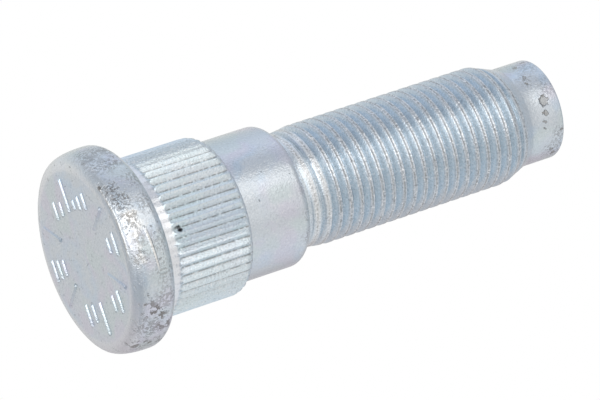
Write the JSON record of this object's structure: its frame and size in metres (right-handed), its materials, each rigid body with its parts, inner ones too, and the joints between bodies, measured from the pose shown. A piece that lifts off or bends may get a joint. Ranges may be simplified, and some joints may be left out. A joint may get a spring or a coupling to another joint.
{
  "type": "wheel stud",
  "caption": "Zinc-plated wheel stud with a round head, a straight-knurled press-fit section, a plain shank, a right-handed thread and a plain dog point.",
  "frame": {"origin": "centre of the head, level with the tops of the raised grade lines that the stud stands on", "axes": "+Z along the stud's axis, from the head's face to the tip of the dog point; one grade line lies along +X"},
  "size_m": [0.0208, 0.0208, 0.0538],
  "materials": {
    "zinc_plate": "clear-blue zinc plate on steel, satin, with small pits and dents"
  },
  "bodies": {
    "root": {"wheel_stud": "zinc_plate"}
  },
  "joints": []
}
